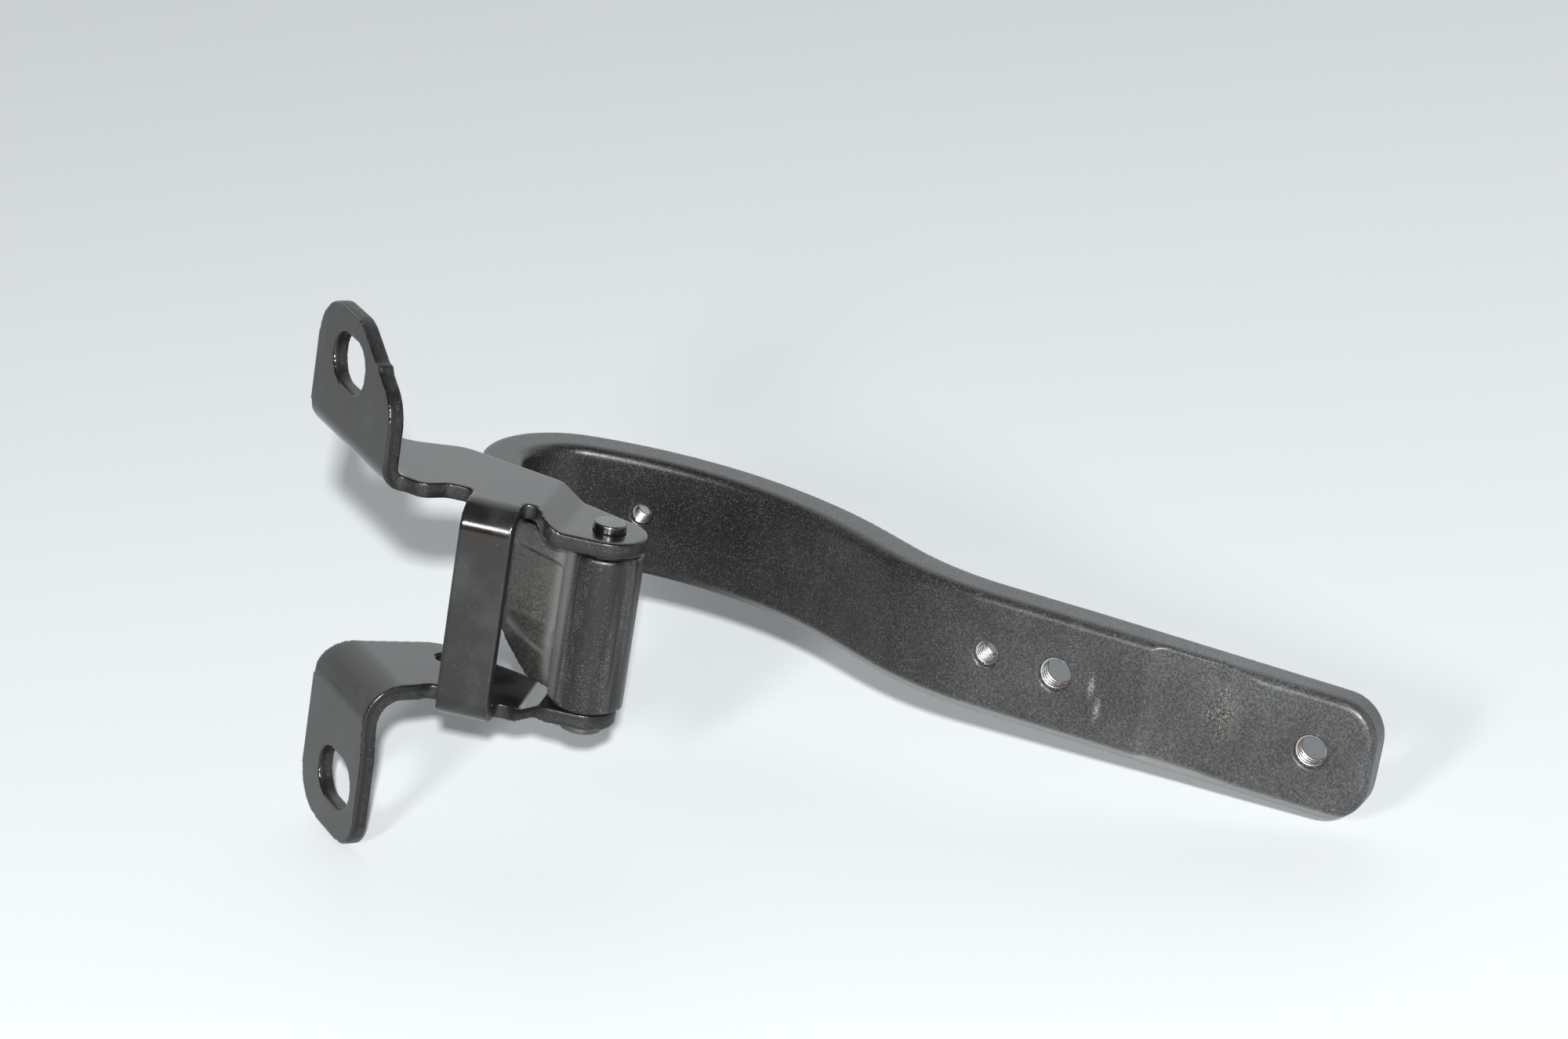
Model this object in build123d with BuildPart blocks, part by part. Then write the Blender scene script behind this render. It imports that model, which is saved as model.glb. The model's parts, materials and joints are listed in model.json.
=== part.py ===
"""Boot lid hinge: a folded sheet bracket, a forged gooseneck arm, its rivet pin and two bushes.

The origin lies on the face that seats on the car body, midway between the two bolt slots. X points
away from that face, Z runs along the hinge pin, and the arm stands as it does in the picture.
"""

import os
from math import acos, atan, atan2, cos, hypot, radians, sin, tan

from build123d import *

os.makedirs("parts", exist_ok=True)

# Hinge pin, bushes and barrel
pin_out = 47.5
pin_side = -48.0
pin_radius = 4.0
pin_stub = 2.2
pin_stub_round = 0.5
pin_head_radius = 5.6
pin_head = 2.6
pin_head_round = 0.8
running_clearance = 0.05
end_play = 0.1
bush_wall = 1.0
bush_length = 12.0
bush_flange = 0.6
bush_flange_radius = 7.9
barrel_radius = 9.5
barrel_height = 40.4
barrel_middle = 4.2
barrel_top_round = 0.6
barrel_foot_round = 1.6

# Sheet bracket
sheet = 4.0
strap_bend_inside = 3.0
upper_bend_inside = 1.8
lower_bend_inside = 6.0
upper_eye_radius = 9.5
lower_eye_radius = 8.2
channel_angle = -38.5
upper_joggle = 3.0
lower_joggle = 4.1
joggle_start = 16.5
joggle_run = 6.0
joggle_round = 4.0
strap_middle = 28.0
strap_width = 13.2
strap_face = 11.9
relief_depth = 2.4
relief_width = 3.2
notch_round = 2.0
notch_corner_round = 3.0
upper_shoulder_run = 4.2
lower_shoulder_run = 10.0
shoulder_round = 5.0
far_corner_along = 44.5
far_corner_across = 28.0
far_corner_round = 9.0
waist_along = 19.0
waist_across = 19.4
waist_round = 20.0

# Mounting ears and their slots
slot_rise = 51.1
slot_side = 11.4
slot_length = 20.0
slot_width = 13.5
ear_far = 20.6
upper_ear_end = 12.6
lower_ear_end = 14.6
upper_ear_near = 28.3
upper_ear_slope_run = 24.0
upper_ear_slope_drop = 13.7
upper_ear_slope_round = 11.0
upper_ear_foot_out = 5.2
upper_ear_foot_round = 3.0
upper_ear_spread = 5.2
upper_notch_run = 6.5
upper_near_corner_out = 8.4
upper_near_corner_round = 4.0
upper_far_drop = 3.0
upper_far_shoulder_out = 16.0
upper_far_shoulder_drop = 24.5
lower_ear_near = 14.6
lower_ear_waist = 1.6
lower_ear_waist_rise = 10.0
lower_ear_waist_run = 9.0
lower_ear_waist_round = 9.0
lower_ear_near_corner = 9.0
lower_notch_run = 4.0
lower_near_corner_out = 14.0
lower_near_corner_round = 4.0
lower_far_drop = 4.6
ear_far_round = 12.0
ear_corner = 12.0
locating_hole_radius = 3.0
locating_hole_u = 39.5
locating_hole_v = 18.5

# Gooseneck arm: the middle line starts at the barrel and is a chain of tangent runs
arm_turn = -30.0
bar_thickness = 11.0
bar_width = 31.5
bar_drop = 0.1
bar_round = 2.3
bar_back_round = 1.0
bar_end_thickness = 9.2
bar_end_corner = 10.5
root_offset = 1.3
root_heading = 138.5
root_run = 12.5
lead_radius = 63.2
neck_radius = 20.6
crest_radius = 100.0
crest_turn = 48.0
slope_run = 12.4
dip_radius = 64.5
pad_heading = -20.5
pad_run = 101.1
relief_from = 42.5
relief_to = 70.0
relief_step = 1.4
relief_lead = 3.0
relief_ramp = 11.0
taper_from = 25.0
taper_round = 60.0
relief_round = 8.0

# Root web of the arm, with its pocket
web_foot_start = 18.0
web_foot_end = 26.0
web_fillet = 4.0
pocket_depth = 1.8
pocket_start = 7.0
pocket_end = 34.0
pocket_top = 6.2
pocket_bottom = 16.0
pocket_slope = 5.2
pocket_wall = 0.8
bevel_top = 3.2
bevel_inset = 3.2

# Tapped holes of the arm, at their thread's outer diameter, each wider behind its thread
large_thread_radius = 4.0
large_thread_length = 6.4
large_relief_radius = 6.0
small_thread_radius = 3.0
small_thread_length = 9.6
small_relief_radius = 3.6
neck_thread_radius = 2.5
neck_thread_length = 7.7
neck_relief_radius = 3.5
thread_chamfer = 0.35
countersink_angle = 90.0
neck_hole_turn = 9.6
hole_rise = 0.6
small_hole_at = 0.7
large_hole_at = 19.1
large_hole_pitch = 66.6

# Levels and places that follow from the sizes above
strap_bend_outside = strap_bend_inside + sheet
upper_bend_outside = upper_bend_inside + sheet
lower_bend_outside = lower_bend_inside + sheet
barrel_top = barrel_middle + barrel_height / 2
barrel_foot = barrel_middle - barrel_height / 2
eye_gap = bush_flange + end_play
upper_eye_under = barrel_top + eye_gap
upper_eye_top = upper_eye_under + sheet
lower_eye_top = barrel_foot - eye_gap
lower_eye_under = lower_eye_top - sheet
upper_flange_top = upper_eye_top + upper_joggle
lower_flange_under = lower_eye_under - lower_joggle
bar_top = barrel_top - bar_drop
bar_foot = bar_top - bar_width
bore_radius = pin_radius + running_clearance + bush_wall
pin_place = Vector(pin_out, pin_side)
far_reach = 400.0
tiny = 1e-6

along = Vector(cos(radians(channel_angle)), sin(radians(channel_angle)))
across = Vector(-along.Y, along.X)


def channel(u, v):
    """Plan point at u along the bracket's channel and v across it, from the pin."""
    place = pin_place + along * u + across * v
    return place.X, place.Y


def rounded_loop(corners):
    """Closed outline through (x, y, radius) corners: straight runs joined by tangent arcs."""
    count = len(corners)
    arcs = []
    for index, (x, y, radius) in enumerate(corners):
        before = corners[index - 1]
        after = corners[(index + 1) % count]
        here = Vector(x, y)
        back = Vector(*before[:2]) - here
        ahead = Vector(*after[:2]) - here
        half = radians(back.get_angle(ahead)) / 2
        room_back = back.length / (2 if before[2] else 1)
        room_ahead = ahead.length / (2 if after[2] else 1)
        reach = min(radius / tan(half), room_back, room_ahead)
        radius = reach * tan(half)
        middle = (back.normalized() + ahead.normalized()).normalized()
        inset = radius / sin(half) - radius
        start = here + back.normalized() * reach
        end = here + ahead.normalized() * reach
        arcs.append((start, here + middle * inset, end))
    for index, (start, middle, end) in enumerate(arcs):
        following = arcs[(index + 1) % count][0]
        if (end - start).length > tiny:
            ThreePointArc(start, middle, end)
        if (following - end).length > tiny:
            Line(end, following)


def tangent_point(u, v, radius):
    """Where a line from (u, v) touches the far side of an eye of that radius about the pin."""
    turn = atan2(v, u) - acos(radius / hypot(u, v))
    return radius * cos(turn), radius * sin(turn)


def joggle_profile(flange_level, eye_level, thickness):
    """Side view of a flange that steps by a ramp from its own level to the level of its eye."""
    rise = eye_level - flange_level
    ramp = atan(abs(rise) / joggle_run)
    knee = thickness * tan(ramp / 2)
    if (rise < 0) == (thickness > 0):
        knee = -knee
    start = -joggle_start
    end = -joggle_start + joggle_run
    rounded_loop([
        (-far_reach, flange_level, 0.0),
        (start, flange_level, joggle_round),
        (end, eye_level, joggle_round),
        (far_reach, eye_level, 0.0),
        (far_reach, eye_level - thickness, 0.0),
        (end + knee, eye_level - thickness, joggle_round),
        (start + knee, flange_level - thickness, joggle_round),
        (-far_reach, flange_level - thickness, 0.0),
    ])


def flange_outline(eye_radius, shoulder_run, ear_corners):
    """Plan of one flange: eye, notched edge beside the strap, ear side, and the tapering far edge."""
    strap_right = -strap_middle + strap_width / 2
    strap_left = -strap_middle - strap_width / 2
    bend_line = -strap_face + strap_bend_outside
    notch_top = bend_line + relief_depth
    notch_right = strap_right + relief_width
    waist = tangent_point(-waist_along, waist_across, eye_radius)
    corners = [
        (*channel(0.0, -eye_radius), 0.0),
        (*channel(notch_right + shoulder_run, -eye_radius), shoulder_round),
        (*channel(notch_right, notch_top), relief_width / 2),
        (*channel(strap_right, notch_top), relief_width / 2),
        (*channel(strap_right, bend_line), 0.0),
        (*channel(strap_left, bend_line), 0.0),
        (*channel(strap_left, bend_line + 2 * relief_depth), notch_round),
        *ear_corners,
        (*channel(-far_corner_along, far_corner_across), far_corner_round),
        (*channel(-waist_along, waist_across), waist_round),
        (*channel(*waist), 0.0),
    ]
    rounded_loop(corners)


channel_side = Plane(
    origin=(pin_out, pin_side, 0), x_dir=(along.X, along.Y, 0), z_dir=(-across.X, -across.Y, 0)
)
ear_face = Plane(origin=(0, 0, 0), x_dir=(0, 1, 0), z_dir=(1, 0, 0))
bend_side = Plane.XZ

# Upper flange with its ear folded up
upper_far = slot_side + ear_far
upper_near = slot_side - upper_ear_near
upper_flange_under = upper_flange_top - sheet
upper_near_edge = upper_near - upper_ear_spread
upper_bend_start = upper_flange_under + upper_bend_outside
notch_along = -strap_middle - strap_width / 2
notch_across = -strap_face + strap_bend_outside + 2 * relief_depth
upper_ear_corners = [
    (*channel(notch_along - upper_notch_run, notch_across), notch_corner_round),
    (upper_near_corner_out, upper_near_edge, upper_near_corner_round),
    (upper_ear_foot_out, upper_near, upper_ear_foot_round),
    (0.0, upper_near, 0.0),
    (0.0, upper_far, 0.0),
    (upper_bend_outside, upper_far - upper_far_drop, ear_far_round),
    (upper_far_shoulder_out, upper_far - upper_far_shoulder_drop, ear_far_round),
]

with BuildPart() as upper_flange:
    with BuildSketch(channel_side):
        with BuildLine():
            joggle_profile(upper_flange_top, upper_eye_top, sheet)
        make_face()
    extrude(amount=far_reach, both=True)
    with BuildSketch(Plane.XY):
        with BuildLine():
            flange_outline(upper_eye_radius, upper_shoulder_run, upper_ear_corners)
        make_face()
        with Locations((pin_out, pin_side)):
            Circle(upper_eye_radius)
    extrude(amount=far_reach, both=True, mode=Mode.INTERSECT)
    with BuildSketch(bend_side):
        with Locations((upper_bend_outside, 0)):
            Rectangle(far_reach, far_reach, align=(Align.MIN, Align.CENTER))
    extrude(amount=far_reach, both=True, mode=Mode.INTERSECT)

with BuildPart() as upper_ear:
    with BuildSketch(bend_side):
        with BuildLine():
            rounded_loop([
                (0.0, upper_flange_under, upper_bend_outside),
                (upper_bend_outside, upper_flange_under, 0.0),
                (upper_bend_outside, upper_flange_top, 0.0),
                (sheet, upper_flange_top, upper_bend_inside),
                (sheet, far_reach, 0.0),
                (0.0, far_reach, 0.0),
            ])
        make_face()
    extrude(amount=far_reach, both=True)
    with BuildSketch(Plane.XY):
        with BuildLine():
            flange_outline(upper_eye_radius, upper_shoulder_run, upper_ear_corners)
        make_face()
    extrude(amount=far_reach, both=True, mode=Mode.INTERSECT)
    with BuildSketch(ear_face):
        with BuildLine():
            rounded_loop([
                (upper_far, upper_flange_under - sheet, 0.0),
                (upper_far, slot_rise + upper_ear_end, ear_corner),
                (upper_near + upper_ear_slope_run, slot_rise + upper_ear_end, ear_corner),
                (upper_near, slot_rise + upper_ear_end - upper_ear_slope_drop, upper_ear_slope_round),
                (upper_near, upper_bend_start, 0.0),
                (upper_near_edge, upper_bend_start, 0.0),
                (upper_near_edge, upper_flange_under - sheet, 0.0),
            ])
        make_face()
        with Locations((slot_side, slot_rise)):
            SlotOverall(slot_length, slot_width, mode=Mode.SUBTRACT)
    extrude(amount=far_reach, both=True, mode=Mode.INTERSECT)

# Lower flange with its ear folded down
lower_far = -slot_side + ear_far
lower_near = -slot_side - lower_ear_near
lower_flange_top = lower_flange_under + sheet
waist_low = -slot_rise + lower_ear_waist_rise
lower_ear_corners = [
    (*channel(notch_along - lower_notch_run, notch_across), notch_corner_round),
    (lower_near_corner_out, lower_near + lower_ear_waist, lower_near_corner_round),
    (lower_bend_outside, lower_near + lower_ear_waist, 0.0),
    (lower_bend_outside, lower_near - lower_ear_waist, 0.0),
    (0.0, lower_near - lower_ear_waist, 0.0),
    (0.0, lower_far, 0.0),
    (lower_bend_outside, lower_far - lower_far_drop, ear_far_round),
]

with BuildPart() as lower_flange:
    with BuildSketch(channel_side):
        with BuildLine():
            joggle_profile(lower_flange_under, lower_eye_under, -sheet)
        make_face()
    extrude(amount=far_reach, both=True)
    with BuildSketch(Plane.XY):
        with BuildLine():
            flange_outline(lower_eye_radius, lower_shoulder_run, lower_ear_corners)
        make_face()
        with Locations((pin_out, pin_side)):
            Circle(lower_eye_radius)
        with Locations(channel(-locating_hole_u, locating_hole_v)):
            Circle(locating_hole_radius, mode=Mode.SUBTRACT)
    extrude(amount=far_reach, both=True, mode=Mode.INTERSECT)
    with BuildSketch(bend_side):
        with Locations((lower_bend_outside, 0)):
            Rectangle(far_reach, far_reach, align=(Align.MIN, Align.CENTER))
    extrude(amount=far_reach, both=True, mode=Mode.INTERSECT)

with BuildPart() as lower_ear:
    with BuildSketch(bend_side):
        with BuildLine():
            rounded_loop([
                (0.0, lower_flange_top, lower_bend_outside),
                (lower_bend_outside, lower_flange_top, 0.0),
                (lower_bend_outside, lower_flange_under, 0.0),
                (sheet, lower_flange_under, lower_bend_inside),
                (sheet, -far_reach, 0.0),
                (0.0, -far_reach, 0.0),
            ])
        make_face()
    extrude(amount=far_reach, both=True)
    with BuildSketch(Plane.XY):
        with BuildLine():
            flange_outline(lower_eye_radius, lower_shoulder_run, lower_ear_corners)
        make_face()
    extrude(amount=far_reach, both=True, mode=Mode.INTERSECT)
    with BuildSketch(ear_face):
        with BuildLine():
            rounded_loop([
                (lower_far, lower_flange_top + sheet, 0.0),
                (lower_far, -slot_rise - lower_ear_end, ear_corner),
                (lower_near, -slot_rise - lower_ear_end, lower_ear_near_corner),
                (lower_near, waist_low, lower_ear_waist_round),
                (lower_near + lower_ear_waist, waist_low + lower_ear_waist_run, lower_ear_waist_round),
                (lower_near + lower_ear_waist, lower_flange_top + sheet, 0.0),
            ])
        make_face()
        with Locations((-slot_side, -slot_rise)):
            SlotOverall(slot_length, slot_width, mode=Mode.SUBTRACT)
    extrude(amount=far_reach, both=True, mode=Mode.INTERSECT)

# Upright strap that joins the two flanges by a bend at each end
strap_side = Plane(
    origin=(*channel(-strap_middle, 0.0), 0), x_dir=(across.X, across.Y, 0), z_dir=(along.X, along.Y, 0)
)

with BuildPart() as strap:
    with BuildSketch(strap_side):
        with BuildLine():
            rounded_loop([
                (-strap_face, lower_flange_under, strap_bend_outside),
                (-strap_face + strap_bend_outside, lower_flange_under, 0.0),
                (-strap_face + strap_bend_outside, lower_flange_top, 0.0),
                (-strap_face + sheet, lower_flange_top, strap_bend_inside),
                (-strap_face + sheet, upper_flange_under, strap_bend_inside),
                (-strap_face + strap_bend_outside, upper_flange_under, 0.0),
                (-strap_face + strap_bend_outside, upper_flange_top, 0.0),
                (-strap_face, upper_flange_top, strap_bend_outside),
            ])
        make_face()
    extrude(amount=strap_width / 2, both=True)

with BuildPart() as body_bracket:
    add(upper_flange.part)
    add(upper_ear.part)
    add(lower_flange.part)
    add(lower_ear.part)
    add(strap.part)
    with Locations((pin_out, pin_side, barrel_middle)):
        Cylinder(pin_radius, far_reach, mode=Mode.SUBTRACT)

body_bracket.part.label = "body_bracket"
export_step(body_bracket.part, "parts/body_bracket.step")


# Gooseneck arm: stations along its middle line, in the arm's own plan about the pin
def left_of(heading):
    """Unit vector to the left of a heading in degrees."""
    return Vector(-sin(radians(heading)), cos(radians(heading)))


def forward(heading):
    """Unit vector along a heading in degrees."""
    return Vector(cos(radians(heading)), sin(radians(heading)))


def walk(start, heading, runs):
    """Stations (place, heading) at the start, middle and end of each (length) or (radius, turn) run."""
    stations = []
    place = start
    for run in runs:
        if len(run) == 1:
            end = place + forward(heading) * run[0]
            stations.append([(place, heading), ((place + end) / 2, heading), (end, heading)])
            place = end
            continue
        radius, turn = run
        side = left_of(heading) * (1 if turn > 0 else -1)
        centre = place + side * radius
        marks = [(place, heading)]
        for share in (0.5, 1.0):
            marks.append((centre - side.rotate(Axis.Z, share * turn) * radius, heading + share * turn))
        stations.append(marks)
        place, heading = marks[-1]
    return stations


def level(edge):
    """Whether an edge runs square to the pin."""
    return abs(edge.tangent_at(0.5).Z) < 0.5


def beside(mark, offset):
    """Point at an offset to the left of a station."""
    place, heading = mark
    return place + left_of(heading) * offset


def draw_side(stations, offset):
    """One face line of the bar, at an offset to the left of the middle line."""
    for start, middle, end in stations:
        if start[1] == end[1]:
            Line(beside(start, offset), beside(end, offset))
        else:
            ThreePointArc(beside(start, offset), beside(middle, offset), beside(end, offset))


half_bar = bar_thickness / 2
root_start = left_of(root_heading) * root_offset
neck_runs = [
    (root_run,),
    (lead_radius, 90.0 - root_heading),
    (neck_radius, -90.0),
    (crest_radius, -crest_turn),
    (slope_run,),
    (dip_radius, pad_heading + crest_turn),
]
neck = walk(root_start, root_heading, neck_runs)
pad_start = neck[-1][-1]


def pad_point(distance, offset):
    """Point on the pad run, at a distance from its start and an offset to the left of its line."""
    return pad_start[0] + forward(pad_heading) * distance + left_of(pad_heading) * offset


def pad_corner(distance, offset, radius):
    """Outline corner at a point of the pad run."""
    place = pad_point(distance, offset)
    return place.X, place.Y, radius


arm_plane = Plane(
    origin=(pin_out, pin_side, bar_foot),
    x_dir=(cos(radians(arm_turn)), sin(radians(arm_turn)), 0),
    z_dir=(0, 0, 1),
)
back_end = bar_end_thickness - half_bar

with BuildPart() as bar:
    with BuildSketch(arm_plane):
        with BuildLine():
            draw_side(neck, half_bar)
            FilletPolyline(
                pad_point(0.0, half_bar),
                pad_point(taper_from, half_bar),
                pad_point(pad_run, back_end),
                radius=taper_round,
            )
            Line(pad_point(pad_run, back_end), pad_point(pad_run, -half_bar))
            Line(pad_point(pad_run, -half_bar), pad_point(0.0, -half_bar))
            draw_side(neck, -half_bar)
            Line(beside(neck[0][0], half_bar), beside(neck[0][0], -half_bar))
        make_face()
    extrude(amount=bar_width)
    pad_tip = arm_plane.from_local_coords(pad_point(pad_run, 0.0) + Vector(0, 0, bar_width / 2))
    fillet(bar.faces().sort_by_distance(pad_tip)[0].edges().filter_by(level), bar_end_corner)
    for offset, rounding in ((-half_bar, bar_round), (half_bar, bar_back_round)):
        rim = arm_plane.from_local_coords(pad_point(taper_from / 2, offset) + Vector(0, 0, bar_width))
        fillet(bar.edges().sort_by_distance(rim)[0], rounding)
    with BuildSketch(arm_plane):
        with BuildLine():
            rounded_loop([
                pad_corner(relief_to + relief_ramp, -half_bar - relief_step, 0.0),
                pad_corner(relief_to - relief_ramp, -half_bar + relief_step, relief_round),
                pad_corner(relief_from + relief_lead, -half_bar + relief_step, relief_lead),
                pad_corner(relief_from - relief_lead, -half_bar - relief_step, 0.0),
            ])
        make_face()
    extrude(amount=bar_width, mode=Mode.SUBTRACT)

arm_forward = forward(root_heading + arm_turn)
arm_left = left_of(root_heading + arm_turn)
outer_face = root_offset + half_bar
web_plane = arm_plane.offset(barrel_foot - bar_foot)
leg_side = Plane(origin=(pin_out, pin_side, 0), x_dir=arm_forward, z_dir=-arm_left)
leg_end = Plane(origin=pin_place + arm_left * outer_face, x_dir=arm_left, z_dir=arm_forward)
pocket_face = Plane(origin=pin_place + arm_left * outer_face, x_dir=-arm_forward, z_dir=arm_left)
pocket_high = bar_top - pocket_top
pocket_low = pocket_high - pocket_bottom
foot_slope = (bar_foot - barrel_foot) / (web_foot_end - web_foot_start)
leg_reach = root_run + lead_radius


def on_barrel(vertex):
    """Whether a corner of the web's plan lies on the barrel's circle."""
    return abs(hypot(vertex.X, vertex.Y) - barrel_radius) < tiny


with BuildPart() as root_web:
    with BuildSketch(web_plane) as web_plan:
        with BuildLine():
            draw_side(neck[:2], half_bar)
            Line(beside(neck[1][2], half_bar), beside(neck[1][2], -half_bar))
            draw_side(neck[:2], -half_bar)
            Line(beside(neck[0][0], half_bar), beside(neck[0][0], -half_bar))
        make_face()
        Circle(barrel_radius)
        fillet(web_plan.vertices().filter_by(on_barrel), web_fillet)
    extrude(amount=bar_top - bar_round - barrel_foot)
    with BuildSketch(leg_side):
        with BuildLine():
            Polyline(
                (web_foot_start, barrel_foot),
                (leg_reach, barrel_foot + foot_slope * (leg_reach - web_foot_start)),
                (leg_reach, barrel_foot - sheet),
                (web_foot_start, barrel_foot - sheet),
                close=True,
            )
        make_face()
    extrude(amount=leg_reach, both=True, mode=Mode.SUBTRACT)

with BuildPart() as barrel:
    with Locations((pin_out, pin_side, barrel_middle)):
        Cylinder(barrel_radius, barrel_height)
    fillet(barrel.edges().filter_by(GeomType.CIRCLE).sort_by(Axis.Z)[0], barrel_foot_round)
    fillet(barrel.edges().filter_by(GeomType.CIRCLE).sort_by(Axis.Z)[-1], barrel_top_round)

with BuildPart() as pocket:
    with BuildSketch(pocket_face):
        with BuildLine():
            Polyline(
                (-pocket_start, pocket_high),
                (-pocket_end, pocket_high),
                (-pocket_end, pocket_low - pocket_slope),
                (-pocket_start, pocket_low - pocket_slope),
                close=True,
            )
        make_face()
    with BuildSketch(pocket_face.offset(-pocket_depth)):
        with BuildLine():
            Polyline(
                (-pocket_start - pocket_wall, pocket_high - pocket_wall),
                (-pocket_end, pocket_high - pocket_wall),
                (-pocket_end, pocket_low),
                (-pocket_start - pocket_wall, pocket_low),
                close=True,
            )
        make_face()
    loft()

crest_start = neck[3][0]
neck_hole = walk(*crest_start, [(crest_radius, -neck_hole_turn)])[0][-1]
small_hole = (pad_point(small_hole_at, 0.0), pad_heading)
near_hole = (pad_point(large_hole_at, 0.0), pad_heading)
far_hole = (pad_point(large_hole_at + large_hole_pitch, 0.0), pad_heading)
tapped_holes = [
    (neck_hole, neck_thread_radius, neck_thread_length, neck_relief_radius),
    (small_hole, small_thread_radius, small_thread_length, small_relief_radius),
    (near_hole, large_thread_radius, large_thread_length, large_relief_radius),
    (far_hole, large_thread_radius, large_thread_length, large_relief_radius),
]

with BuildPart() as lid_arm:
    add(bar.part)
    add(root_web.part)
    with BuildSketch(leg_end):
        with BuildLine():
            Polyline(
                (0.0, bar_foot + bevel_top),
                (-bevel_inset, barrel_foot),
                (barrel_radius, barrel_foot),
                (barrel_radius, bar_foot + bevel_top),
                close=True,
            )
        make_face()
    extrude(amount=web_foot_end, mode=Mode.SUBTRACT)
    add(pocket.part, mode=Mode.SUBTRACT)
    add(barrel.part)
    with Locations((pin_out, pin_side, barrel_middle)):
        Cylinder(bore_radius, barrel_height, mode=Mode.SUBTRACT)
    hole_height = bar_width / 2 + hole_rise
    for mark, radius, thread_length, relief_radius in tapped_holes:
        inward = left_of(mark[1] + arm_turn)
        mouth = arm_plane.from_local_coords(beside(mark, -half_bar) + Vector(0, 0, hole_height))
        with Locations(Plane(origin=mouth, x_dir=(0, 0, 1), z_dir=-inward)):
            CounterSinkHole(radius, radius + thread_chamfer, bar_thickness, countersink_angle)
        with Locations(Plane(origin=mouth + inward * thread_length, x_dir=(0, 0, 1), z_dir=inward)):
            Cylinder(
                relief_radius,
                bar_thickness,
                align=(Align.CENTER, Align.CENTER, Align.MIN),
                mode=Mode.SUBTRACT,
            )

lid_arm.part.label = "lid_arm"
export_step(lid_arm.part, "parts/lid_arm.step")

# Rivet pin: a plain shank held in both eyes, a rounded stub above and a flat head below
with BuildPart() as pivot_pin:
    with Locations((pin_out, pin_side, lower_eye_under)):
        Cylinder(pin_head_radius, pin_head, align=(Align.CENTER, Align.CENTER, Align.MAX))
        fillet(pivot_pin.edges().sort_by(Axis.Z)[0], pin_head_round)
        Cylinder(
            pin_radius,
            upper_eye_top + pin_stub - lower_eye_under,
            align=(Align.CENTER, Align.CENTER, Align.MIN),
        )
    fillet(pivot_pin.edges().sort_by(Axis.Z)[-1], pin_stub_round)

pivot_pin.part.label = "pivot_pin"
export_step(pivot_pin.part, "parts/pivot_pin.step")

# Flanged bushes pressed into the two ends of the barrel
with BuildPart() as upper_bush:
    with Locations((pin_out, pin_side, barrel_top)):
        Cylinder(bush_flange_radius, bush_flange, align=(Align.CENTER, Align.CENTER, Align.MIN))
        Cylinder(bore_radius, bush_length, align=(Align.CENTER, Align.CENTER, Align.MAX))
        Cylinder(pin_radius + running_clearance, 2 * barrel_height, mode=Mode.SUBTRACT)

upper_bush.part.label = "upper_bush"
export_step(upper_bush.part, "parts/upper_bush.step")

with BuildPart() as lower_bush:
    with Locations((pin_out, pin_side, barrel_foot)):
        Cylinder(bush_flange_radius, bush_flange, align=(Align.CENTER, Align.CENTER, Align.MAX))
        Cylinder(bore_radius, bush_length, align=(Align.CENTER, Align.CENTER, Align.MIN))
        Cylinder(pin_radius + running_clearance, 2 * barrel_height, mode=Mode.SUBTRACT)

lower_bush.part.label = "lower_bush"
export_step(lower_bush.part, "parts/lower_bush.step")
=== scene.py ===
"""Looks of the boot lid hinge: coated sheet bracket, forged arm with cut threads, rivet pin and bushes."""

import json
from math import cos, exp, pi, radians, sin

import bmesh
import bpy
from mathutils import Matrix, Vector
from mathutils.bvhtree import BVHTree


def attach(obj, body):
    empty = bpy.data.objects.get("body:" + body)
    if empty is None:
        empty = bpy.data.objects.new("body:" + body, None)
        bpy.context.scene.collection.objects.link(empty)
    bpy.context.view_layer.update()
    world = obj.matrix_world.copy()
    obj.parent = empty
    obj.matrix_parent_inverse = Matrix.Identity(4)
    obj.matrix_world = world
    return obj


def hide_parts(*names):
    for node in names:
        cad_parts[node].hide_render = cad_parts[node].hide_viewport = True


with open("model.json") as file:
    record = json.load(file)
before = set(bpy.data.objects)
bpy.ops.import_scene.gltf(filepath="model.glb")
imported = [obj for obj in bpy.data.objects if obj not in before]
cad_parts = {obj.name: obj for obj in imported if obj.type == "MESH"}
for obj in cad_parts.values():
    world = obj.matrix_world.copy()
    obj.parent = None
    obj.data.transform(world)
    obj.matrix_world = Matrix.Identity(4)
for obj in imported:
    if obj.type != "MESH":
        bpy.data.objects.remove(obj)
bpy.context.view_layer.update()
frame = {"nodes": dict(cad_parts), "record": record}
MM = 0.001

# Camera: heading in the plan, drop below the horizon, roll, and the point it looks at
VIEW_HEADING = radians(60.0)
VIEW_DROP = radians(20.0)
VIEW_ROLL = radians(9.3)
VIEW_TARGET = Vector((0.1255, 0.0043, 0.0084))
VIEW_DISTANCE = 1.2297
LENS_MM = 108.0
SENSOR_MM = 36.0

# Table top, in the backdrop's pale colour: it rises away from the camera and to the right, as the hinge
# lies on its ear and its arm
TABLE_SLOPE = 0.08
TABLE_SIDE_SLOPE = 0.235
TABLE_GAP = 0.0004
TABLE_SIZE = 8.0
PALE = (0.80, 0.835, 0.85, 1.0)

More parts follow.
